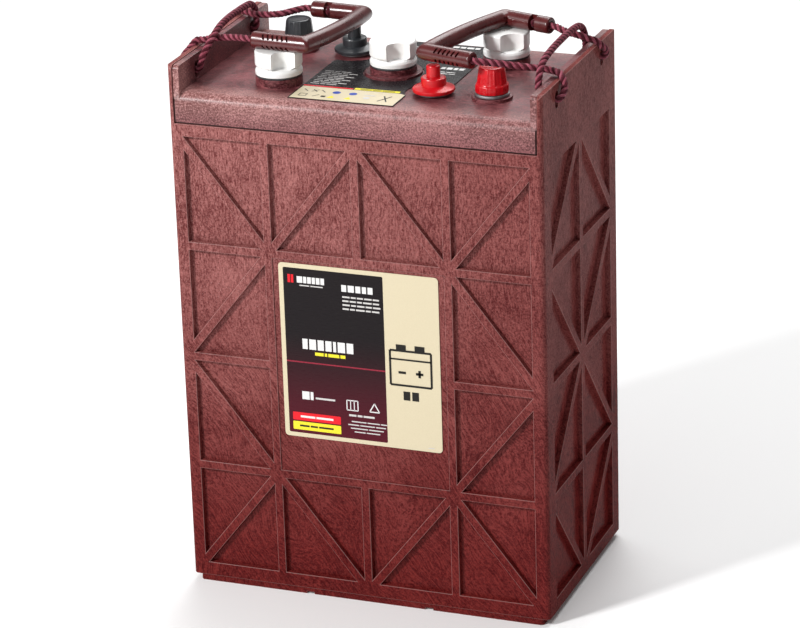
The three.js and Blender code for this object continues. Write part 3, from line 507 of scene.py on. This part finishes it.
ROPE = {"diameter": 5.5 * MM, "strand": 1.16 * MM, "lay": 11.6 * MM}
ROUTES = {
    "left": {
        "front": [[-85.5, -48.2, 436.2], [-91.1, -47.8, 436.2], [-96.7, -47.3, 436.2], [-100.4, -46.6, 436.1],
                  [-107.6, -42.8, 435], [-117, -39.2, 433.5], [-126.4, -36.3, 431.7], [-135.5, -34.3, 429.6],
                  [-141.5, -33.6, 428], [-146.6, -34.2, 427.4], [-150.9, -39.6, 421.4], [-151.5, -44.5, 420],
                  [-151.6, -50, 418], [-151.3, -53.6, 415], [-149.6, -54.2, 412.2], [-146, -54, 411],
                  [-142, -54, 411]],
        "strand": [[-141, -54, 411], [-138.6, -54, 411], [-135.6, -55, 413.4], [-133.6, -55.9, 419.5],
                   [-131.2, -53.4, 426], [-129, -48.4, 431.9], [-128, -41, 436.3], [-129, -28.3, 438.7],
                   [-131, -7.1, 438.9], [-133, 14, 437.6], [-134.4, 33, 436.2], [-134.8, 44.6, 434.4],
                   [-135, 52.4, 428.6], [-135.3, 54.8, 422], [-135.6, 54.6, 414], [-138.6, 54, 411],
                   [-141, 54, 411]],
        "back": [[-77.3, 52.3, 432], [-82.9, 52.8, 432], [-88.5, 53.3, 432], [-92.2, 53, 432],
                 [-98.8, 47.2, 431.3], [-106.4, 39.4, 430.4], [-115, 37.6, 429.5], [-123, 39.4, 428.4],
                 [-131.6, 43, 427], [-140, 46.6, 427.4], [-146.4, 48.4, 427.4], [-150.9, 50.4, 421.4],
                 [-151.4, 52.2, 418.4], [-151.2, 53.6, 415.2], [-149.6, 54.2, 412.2], [-146, 54, 411],
                 [-142, 54, 411]],
    },
    "right": {
        "front": [[75.3, -51.4, 435.6], [80.7, -53, 435.6], [86, -54.5, 435.6], [89.7, -55, 435.5],
                  [97.6, -51.2, 434.2], [104.6, -48.6, 433.1], [111.5, -46.4, 432], [118.5, -44, 430.9],
                  [125.5, -40.8, 429.7], [132.6, -37.6, 428.5], [139.5, -37.8, 427.7], [146.2, -41.6, 427.4],
                  [151.1, -45.6, 421.4], [151.6, -46.6, 418.4], [151.6, -49.8, 415], [150.2, -53.6, 412.2],
                  [146, -54, 411], [142, -54, 411]],
        "strand": [[141, -54, 411], [138.6, -54, 411], [135.6, -55.8, 413.6], [135.2, -58, 420.4],
                   [135.2, -56.2, 427.6], [135.3, -52.4, 433], [135.3, -44.2, 437.4], [135.3, -32, 439.5],
                   [135.3, -18, 440.6], [135.3, -3, 441.2], [135.3, 12, 441.4], [135.3, 27, 440.8],
                   [135.3, 38.4, 439.2], [135.3, 46.6, 435.2], [135.3, 51.6, 429.2], [135.3, 53.4, 421.8],
                   [135.6, 54.2, 414], [138.6, 54, 411], [141, 54, 411]],
        "back": [[103.6, 45.5, 436.2], [108.9, 44, 436.2], [114.3, 42.4, 436.2], [117.8, 41, 436],
                 [121.4, 39, 435.2], [126.6, 37.2, 434.3], [132.2, 36.6, 433.3], [138, 38, 431.4],
                 [143, 40.6, 429], [146.9, 42.2, 427.6], [151, 47.6, 421.4], [151.5, 51.8, 418.6],
                 [151.3, 54, 415.4], [149.6, 54.2, 412.2], [146, 54, 411], [142, 54, 411]],
    },
}


def twisted(name, points):
    """Four strands laid round each other along a route. Returns the piece, its middle line and length."""
    line, along = curve_through([[v * MM for v in point] for point in points], 0.00075)
    first, second = crosswise(line)
    offset = ROPE["diameter"] / 2 - ROPE["strand"]
    work = bmesh.new()
    for k in range(4):
        angle = (2 * math.pi * along / ROPE["lay"] + k * math.pi / 2)[:, None]
        strand = line + offset * (np.cos(angle) * first + np.sin(angle) * second)
        # every other strand takes the painted highlight copy, the others the painted shade copy
        add_tube(work, strand, ROPE["strand"], 8, k % 2)
    return piece_from(work, name, ROPE_HIGHLIT, ROPE_SHADED), line, float(along[-1])


def knot(name, centre, way):
    """The stopper knot that shows in a grip's notch."""
    turns = np.linspace(0, 2 * math.pi, 61)
    loop = np.stack([0.9 * np.sin(3 * turns), (2.1 + 0.75 * np.cos(3 * turns)) * np.cos(2 * turns),
                     (2.1 + 0.75 * np.cos(3 * turns)) * np.sin(2 * turns)], axis=1) * MM
    across = Vector((0, 0, 1)).cross(way)
    turn = np.array([way, across, Vector((0, 0, 1))])
    work = bmesh.new()
    # the knot is all in the painted shade copy
    add_tube(work, loop @ turn + np.array(centre), 1.25 * MM, 8, 1)
    return piece_from(work, name, ROPE_HIGHLIT, ROPE_SHADED)


GRIP_PLACES = {
    "left": {"at": [-90, 2.75, 434.12], "yaw": -4.65, "roll": -2.36},
    "right": {"at": [97.68, -5.34, 435.9], "yaw": 163.75, "roll": -0.36},
}
GRIP_SIZE = {"radius": 6.4, "arm": 43, "span": 101, "bow": 3.6, "bore": 3.5, "notch": [11.7, 17.3]}
KNOT_PLACE = {"along": 14.5, "inward": 1.2}


def grip_matrix(hand):
    place = GRIP_PLACES[hand]
    yaw = Matrix.Rotation(math.radians(place["yaw"]), 4, "Z")
    roll = Matrix.Rotation(math.radians(place["roll"]), 4, "X")
    return Matrix.Translation([v * MM for v in place["at"]]) @ yaw @ roll


def make_ropes():
    for hand, outward in (("left", -1), ("right", 1)):
        body, joint = f"handle_{hand}", f"{hand}_handle_swing"
        matrix = grip_matrix(hand)
        for place in ("front", "back"):
            piece, line, length = twisted(f"rope_{hand}_{place}_run", ROUTES[hand][place])
            side = 1 if (place == "back") == (hand == "left") else -1
            across = side * GRIP_SIZE["span"] / 2 - side * KNOT_PLACE["inward"]
            centre = matrix @ (Vector((KNOT_PLACE["along"], across, 0)) * MM)
            stopper = knot(f"rope_{hand}_{place}_knot", centre, matrix.to_3x3() @ Vector((1, 0, 0)))
            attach(stopper, body)
            outermost = min if place == "front" else max
            edge = outermost(point[1] for point in line)
            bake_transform(piece)
            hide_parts(f"rope_{hand}_lead_{place}", f"rope_{hand}_outer_{place}")
        strand, line, length = twisted(f"rope_{hand}_inner_run", ROUTES[hand]["strand"])
        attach(strand, "root")
        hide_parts(f"rope_{hand}_strand")
        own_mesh(strand)


# ---------------------------------------------------------------- grips

def grip_line():
    """The middle line of a grip, with its radius: two arms, and a slightly bowed bar between them."""
    half, arm, bow, full = GRIP_SIZE["span"] / 2, GRIP_SIZE["arm"], GRIP_SIZE["bow"], GRIP_SIZE["radius"]
    start = [(0, full - 1.2), (0.3, full - 0.5), (0.9, full - 0.12), (1.6, full)]
    bar = [(arm + bow * (1 - share ** 2), share * half, full) for share in np.linspace(-0.9, 0.9, 13)]
    return ([(x, -half, r) for x, r in start] + [(arm, -half, full)] + bar + [(arm, half, full)]
            + [(x, half, r) for x, r in start[::-1]])


def mitred_tube(work, line, sides):
    """A closed tube along a flat line of (x, y, radius), mitred at its points. Returns its rings."""
    points = [Vector((x, y)) for x, y, r in line]
    ways = [(b - a).normalized() for a, b in zip(points, points[1:])]
    rings = []
    for i, (point, (x, y, r)) in enumerate(zip(points, line)):
        into, out = ways[max(i - 1, 0)], ways[min(i, len(ways) - 1)]
        across = (Vector((into.y, -into.x)) + Vector((out.y, -out.x))) / (1 + into.dot(out))
        ring = []
        for k in range(sides):
            a = 2 * math.pi * k / sides
            flat = point + across * (r * math.cos(a))
            ring.append(work.verts.new(Vector((flat.x, flat.y, r * math.sin(a))) * MM))
        rings.append(ring)
    join_rings(work, rings)
    return rings


def add_prism(work, outline, low, high, matrix):
    """A flat outline, raised from low to high along its own Z, then placed."""
    lower = [work.verts.new(matrix @ Vector((x, y, low))) for x, y in outline]
    upper = [work.verts.new(matrix @ Vector((x, y, high))) for x, y in outline]
    work.faces.new(lower[::-1])
    work.faces.new(upper)
    for k in range(len(outline)):
        n = (k + 1) % len(outline)
        work.faces.new((lower[k], lower[n], upper[n], upper[k]))


def stadium(length, width, sides=6):
    """An outline with round ends, along Y."""
    r, straight = width / 2, length / 2 - width / 2
    arc = [math.pi * k / sides for k in range(sides + 1)]
    return ([(r * math.cos(a), straight + r * math.sin(a)) for a in arc]
            + [(-r * math.cos(a), -straight - r * math.sin(a)) for a in arc])


def grip_cutters():
    """What is cut out of a grip: in each arm a bore, a notch for the knot, and two rows of slots."""
    work = bmesh.new()
    r, span = GRIP_SIZE["radius"], GRIP_SIZE["span"]
    low, high = GRIP_SIZE["notch"]
    slot_start, slot_pitch, slot_length, slot_width, slot_depth = 11, 3.95, 5.0, 1.75, 1.7
    for side in (-1, 1):
        y = side * span / 2
        bore = disc(0, 0, GRIP_SIZE["bore"], 20)
        add_prism(work, [(a * MM, b * MM) for a, b in bore], -1 * MM, (high - 1.6) * MM,
                  Matrix.Translation((0, y * MM, 0)) @ Matrix.Rotation(math.pi / 2, 4, "Y"))
        near, far = sorted((y, y - side * (r + 1)))
        add_prism(work, [(a * MM, b * MM) for a, b in oblong(low, near, high, far)],
                  -(r + 1) * MM, (r + 1) * MM, Matrix.Identity(4))
        outward = Matrix.Rotation(-side * math.pi / 2, 4, "X")
        lean = Matrix.Rotation(math.radians(-20) * side, 4, "Z")
        slot = [(a * MM, b * MM) for a, b in stadium(slot_length, slot_width)]
        for row in (-1, 1):
            around = Matrix.Rotation(row * side * math.radians(41), 4, "X")
            for k in range(6):
                place = Matrix.Translation(((slot_start + slot_pitch * k) * MM, y * MM, 0))
                add_prism(work, slot, (r - slot_depth) * MM, (r + 1.5) * MM, place @ around @ outward @ lean)
    return piece_from(work, "grip_cutters")


def make_grips():
    work = bmesh.new()
    line = grip_line()
    rings = mitred_tube(work, line, 40)
    corners = [k for k, (x, y, r) in enumerate(line)
               if x == GRIP_SIZE["arm"] and abs(y) == GRIP_SIZE["span"] / 2]
    loops = [edge for k in corners for a, b in zip(rings[k], rings[k][1:] + rings[k][:1])
             for edge in a.link_edges if edge.other_vert(a) == b]
    bmesh.ops.bevel(work, geom=loops, offset=0.0026, offset_type="OFFSET", segments=5, profile=0.5,
                    affect="EDGES", clamp_overlap=False)
    solid = piece_from(work, "grip_solid")
    cutters = grip_cutters()
    cut = solid.modifiers.new("cut", "BOOLEAN")
    cut.operation, cut.object, cut.solver = "DIFFERENCE", cutters, "EXACT"
    shaped = bpy.data.meshes.new_from_object(solid.evaluated_get(bpy.context.evaluated_depsgraph_get()))
    for scratch in (solid, cutters):
        bpy.data.objects.remove(scratch)
    for hand in ("left", "right"):
        mesh = shaped.copy()
        mesh.transform(grip_matrix(hand))
        shade(mesh, 38)
        grip = object_of(f"grip_{hand}", mesh, GRIP)
        edge = grip.modifiers.new("edge", "BEVEL")
        edge.width, edge.segments = 0.00028, 2
        edge.limit_method, edge.angle_limit = "ANGLE", math.radians(40)
        weigh(grip)
        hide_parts(f"handle_grip_{hand}")
        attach(grip, f"handle_{hand}")


# ---------------------------------------------------------------- terminals

POST_AT = (92.6, -38.8)


def ribbed_post_cover(name, x, y, material):
    """A conical cover with upright ribs, over a ribbed skirt."""
    sides, ribs = 144, 12
    profile = [  # radius, height, rib height
        (10.6, 408.3, 0), (12.4, 408.4, 0.15), (12.6, 409.2, 0.35), (12.5, 413.4, 0.35), (12.1, 414.4, 0.2),
        (11.3, 414.9, 0), (11.15, 415.6, 0.1), (11.0, 416.6, 0.42), (9.75, 426.6, 0.42), (9.5, 427.3, 0.2),
        (9.0, 427.8, 0), (8.2, 428.0, 0), (7.9, 427.75, 0), (3, 427.75, 0),
    ]
    work = bmesh.new()
    rings = []
    for radius, height, rib in profile:
        ring = []
        for k in range(sides):
            a = 2 * math.pi * k / sides
            wave = max(0.0, math.cos(a * ribs)) ** 2 - 0.5
            r = radius + rib * wave
            ring.append(work.verts.new(Vector((x + r * math.cos(a), y + r * math.sin(a), height)) * MM))
        rings.append(ring)
    join_rings(work, rings)
    piece = piece_from(work, name, material)
    shade(piece.data, 40)
    return piece


def make_terminals():
    for sign, side, material, slot in (("positive", 1, RED, "red_plastic"),
                                       ("negative", -1, BLACK, "black_plastic")):
        tall = refined(f"{sign}_stud_cover", f"{sign}_stud_boot", 0.0006, [material], 30)
        cone = ribbed_post_cover(f"{sign}_post_boot", side * POST_AT[0], side * POST_AT[1], material)
        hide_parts(f"{sign}_post_cover")
        for piece in (tall, cone):
            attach(piece, "root")
        for part in ("post", "stud"):
            ring = refined(f"{sign}_{part}", f"{sign}_{part}_casting", 0.0003, [LEAD], 40, 1)
            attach(ring, "root")


# ---------------------------------------------------------------- labels

INK_STEP = 0.02 * MM


def bars(x, z, widths, height, gap=0.9):
    """A row of blocks that stands for printed words."""
    found = []
    for width in widths:
        found.append((x, z - height / 2, x + width, z + height / 2))
        x += width + gap
    return found


def oblong(x0, z0, x1, z1):
    return [(x0, z0), (x1, z0), (x1, z1), (x0, z1)]


def blocks(*rows):
    """The outlines of several rows of blocks."""
    return [oblong(*block) for row in rows for block in bars(*row)]


def disc(x, z, r, sides=28):
    return [(x + r * math.cos(2 * math.pi * k / sides), z + r * math.sin(2 * math.pi * k / sides))
            for k in range(sides)]


def stroke(a, b, width):
    """A straight line of some width, as an outline."""
    way = Vector((b[0] - a[0], b[1] - a[1])).normalized() * (width / 2)
    return [(a[0] - way.y, a[1] + way.x), (a[0] + way.y, a[1] - way.x), (b[0] + way.y, b[1] - way.x),
            (b[0] - way.y, b[1] + way.x)]


def outline(x0, z0, x1, z1, width):
    """The four sides of a rectangle, as strokes."""
    corners = oblong(x0, z0, x1, z1)
    return [stroke(corners[k], corners[(k + 1) % 4], width) for k in range(4)]


def printed(name, source, base, prints, lift):
    """A label: its own sheet, with thin printed areas over it.

    prints is a list of (material, outlines). lift turns a point of an outline and a number of ink layers
    into a place.
    """
    work = merged(nodes[source].data)
    materials = [base]
    for layer, (material, outlines) in enumerate(prints, 1):
        if material not in materials:
            materials.append(material)
        for shape in outlines:
            face = work.faces.new([work.verts.new(lift(a, b, layer)) for a, b in shape])
            face.material_index = materials.index(material)
    mesh = bpy.data.meshes.new(name)
    work.to_mesh(mesh)
    work.free()
    label = object_of(name, mesh, *materials)
    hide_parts(source)
    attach(label, "root")
    return label


def rounded(x0, z0, x1, z1, r, steps=5):
    found = []
    for cx, cz, start in ((x1 - r, z0 + r, -90), (x1 - r, z1 - r, 0),
                          (x0 + r, z1 - r, 90), (x0 + r, z0 + r, 180)):
        for k in range(steps + 1):
            a = math.radians(start + 90 * k / steps)
            found.append((cx + r * math.cos(a), cz + r * math.sin(a)))
    return found


def make_front_label():
    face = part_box("front_label")[0].y

    def lift(x, z, layer):
        return Vector((x * MM, face - INK_STEP * layer, z * MM))

    caps = [oblong(29, 214.8, 37, 219), oblong(44, 214.8, 52, 219)]
    minus = [oblong(30.5, 195.4, 36.5, 197.4)]
    plus = [oblong(44.5, 195.4, 50.5, 197.4), oblong(46.5, 193.4, 48.5, 199.4)]
    battery = outline(24, 186, 57, 214, 1.7) + caps + [stroke((24, 207), (57, 207), 1.4)] + minus + plus
    cells = outline(-12.5, 160.5, -3.5, 168.5, 0.8)
    cells += [stroke((x, 160.5), (x, 168.5), 0.7) for x in (-9.5, -6.5)]
    peak = [(6, 161), (14, 161), (10, 168)]
    triangle = [stroke(peak[k], peak[(k + 1) % 3], 0.9) for k in range(3)]
    words = blocks((-49.5, 263, [4.5, 2.6, 3, 2.6, 3, 3], 5.2, 0.7),
                   (-13.5, 259.5, [4, 5, 4, 3.4, 4], 5.4, 1.2),
                   (-47, 211, [4.2, 5.6, 5, 5, 2.4, 6, 5.4], 8.4, 1.3), (-49, 168.5, [6, 2.4], 6.6, 0.8))
    small = blocks((-47.5, 258.4, [8, 10], 0.9), (-13, 252.6, [6, 4, 5, 6, 5], 1.3),
                   (-13, 249.4, [5, 5, 4, 7, 5], 1.3), (-13, 246.2, [6, 4, 6, 5, 6], 1.3),
                   (-13, 243, [5, 4, 7, 4, 6], 1.3), (-38, 167, [16], 1.5), (-11, 156.4, [6, 4, 9], 1.6),
                   (-9, 151.4, [12, 10, 5], 0.9), (-12, 148.6, [9, 12, 8], 0.9),
                   (-10, 145.8, [14, 12], 0.9), (-7, 143, [9, 11], 0.9))
    mark = [oblong(-57, 260, -55, 266.6), oblong(-54.3, 260, -52.3, 266.6)]
    prints = [
        (PANEL, [rounded(-60.7, 137, 20, 272, 1.2)]),
        (PRINT_MAROON, [oblong(-60.7, 195.2, 20, 196.3)]),
        (PRINT_WHITE, words + cells + triangle),
        (PRINT_GREY, small),
        (PRINT_RED, [rounded(-57.4, 147.4, -18, 154, 0.7)] + mark),
        (PRINT_YELLOW, [rounded(-57.4, 139.6, -18, 146.4, 0.7)] + blocks((-37, 203.6, [7, 2, 9, 4], 2.6))),
        (PRINT_WHITE, blocks((-51, 150.7, [12, 14], 1.7))),
        (INK, blocks((-52, 143, [8, 6, 12], 1.5)) + battery + blocks((34, 177.6, [5.4, 5.4], 7.2, 1.6))),
        (PRINT_GREY, blocks((53, 136.8, [5], 0.7))),
    ]
    printed("front_label_print", "front_label", CREAM, prints, lift)


def make_top_label():
    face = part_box("top_label")[1].z

    def lift(x, y, layer):
        return Vector((x * MM, y * MM, face + INK_STEP * layer))

    marks = []
    for k, x in enumerate((-50, -42.5, -36)):
        marks.append(stroke((x, -56), (x + 4.5, -61), 0.8))
        if k % 2:
            marks.append(stroke((x, -61), (x + 4.5, -56), 0.8))
    marks += outline(-49, -72.5, -43.5, -67, 0.7)
    marks += [stroke((-38, -72), (-34, -67), 0.8), oblong(-31.5, -72, -28, -68.6)]
    marks += [stroke((13.4, -71), (20.5, -58), 1.1), stroke((20.5, -71), (14.5, -58), 1.1)]
    rows = []
    for k in range(9):
        widths = [5, 8, 4, 7] if k % 2 else [7, 4, 8]
        rows += blocks((-51.5 + (k % 2) * 0.8, -41.5 + 3.9 * k, widths, 1.2, 1.0))
    for k in range(5):
        rows += blocks((-45 + (k % 2), 45 + 5.2 * k, [10, 7, 12, 8], 1.4, 1.2))
    triangles = [[(x, -72.5), (x + 6, -72.5), (x + 3, -67)] for x in (-26.5, -13.2)]
    prints = [
        (CREAM, [[(-54, -78), (28.3, -78), (28.3, -51.6), (24, -49.4), (-54, -49.4)]]),
        (PRINT_RED, [oblong(-54.2, -48.6, -14.5, -46.4)]),
        (PRINT_YELLOW, [oblong(-13.5, -48.6, 22.5, -44.6)] + triangles),
        (PRINT_BLUE, [disc(-23.1, -59.2, 3.1), disc(-10, -59.2, 3.1)]),
        (INK, marks + blocks((-9, -46.6, [9, 7, 10], 1.2))),
        (PRINT_GREY, [disc(3.2, -66, 2.6), oblong(-1, -60.4, 8, -58.8)] + rows),
        (PRINT_WHITE, blocks((31.5, 19, [3.4, 4.4, 3.2, 4], 5, 1.2), (22, 72.4, [5, 4.4, 5.6, 4], 4, 1),
                             (33, 9.5, [5, 7], 1.3), (35, 5.6, [6, 5], 1.3))),
    ]
    printed("top_label_print", "top_label", TOP_FILM, prints, lift)


# ---------------------------------------------------------------- case, cover and caps

OUTER_LIMITS = {"x": 139.5 * MM, "y": 83 * MM, "z": 3 * MM}
COVER_LIMITS = {"end": 143.5 * MM, "face": 88.5 * MM, "foot": 379 * MM, "roll": 70 * MM, "crown": 404 * MM}


def outside_case(edge):
    """Edges of the outer walls, and not of the cells inside."""
    middle = (edge.verts[0].co + edge.verts[1].co) / 2
    return (abs(middle.x) > OUTER_LIMITS["x"] or abs(middle.y) > OUTER_LIMITS["y"]
            or middle.z < OUTER_LIMITS["z"])


def seam_edge(edge):
    """The cover's lower front and back edges, and its short upright ones against the end walls."""
    ends = [v.co for v in edge.verts]
    low = all(abs(v.y) > COVER_LIMITS["face"] and v.z < COVER_LIMITS["foot"] for v in ends)
    upright = all(abs(v.x) > COVER_LIMITS["end"] and abs(v.y) > COVER_LIMITS["roll"]
                  and v.z < COVER_LIMITS["crown"] for v in ends)
    return low or upright


def cover_edge(edge):
    """Edges on top of the cover that are not its seam."""
    return max(v.co.z for v in edge.verts) > 0.4 and not seam_edge(edge)


def open_seam(cover):
    """Cuts back the cover's edges beside the case and gives the cut faces a dark material, a painted shadow
    that shows the seam as a dark line.
    """
    work = bmesh.new()
    work.from_mesh(cover.data)
    seams = [edge for edge in work.edges
             if len(edge.link_faces) == 2 and edge.calc_face_angle() > 0.8 and seam_edge(edge)]
    bmesh.ops.bevel(work, geom=seams, offset=0.0012, offset_type="OFFSET", segments=1, profile=0.5,
                    affect="EDGES", clamp_overlap=False, material=1)
    work.to_mesh(cover.data)
    work.free()


def make_case():
    case = refined("case", "case_shell", 0.0004, [CASE, CASE_EDGE], 25, 2, outside_case, 30, 1)
    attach(case, "root")
    cover = refined("cover", "cover_shell", 0.0006, [COVER, SEAM_SHADOW], 40, 2, cover_edge, 30)
    open_seam(cover)
    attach(cover, "root")


def above_flange(edge):
    return max(v.co.z for v in edge.verts) > 0.41


def make_caps():
    for number in (1, 2, 3):
        cap = refined(f"vent_cap_{number}", f"vent_cap_{number}_shell", 0.0004, [WHITE], 28,
                      2, above_flange, 30)
        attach(cap, "cap_2" if number == 2 else f"cap_{number}")
        ring = refined(f"cap_gasket_{number}", f"cap_gasket_{number}_ring", 0.0003, [RUBBER], 40)
        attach(ring, "cap_2_seal" if number == 2 else "root")


def dress_inside():
    """Materials for the CAD nodes that are shown as they are."""
    plates = {"positive": pasted_plate("positive_plate", (0.06, 0.03, 0.02), (0.14, 0.08, 0.05)),
              "negative": pasted_plate("negative_plate", (0.2, 0.21, 0.22), (0.36, 0.37, 0.38))}
    separator = moulded("separator", (0.45, 0.42, 0.35), (0.55, 0.52, 0.45), 0.8, 0.0, 900, 0.0002, 0.1)
    shield = moulded("shield_plastic", (0.5, 0.52, 0.5), (0.64, 0.66, 0.64), 0.6, 0.0, 900, 0.0001, 0.1)
    for name, node in nodes.items():
        if name.startswith(("positive_plates", "negative_plates")):
            material = plates[name.split("_")[0]]
        elif name.startswith("separator"):
            material = separator
        elif name.startswith("element_shield"):
            material = shield
        elif name.startswith("splash_baffle"):
            material = WHITE
        elif name.endswith(("washer", "nut")):
            material = STEEL
        elif name.endswith("link_bar") or name.startswith("cell_connector"):
            material = LEAD
        else:
            continue
        node.data.materials.clear()
        node.data.materials.append(material)


def make_floor():
    bpy.ops.mesh.primitive_plane_add(size=16, location=(0, 0, 0))
    floor = bpy.context.object
    floor.name = "floor"
    floor.data.materials.append(floor_finish())


place_camera()
light_scene()
make_floor()
make_ropes()
make_grips()
make_case()
make_caps()
make_terminals()
make_front_label()
make_top_label()
dress_inside()
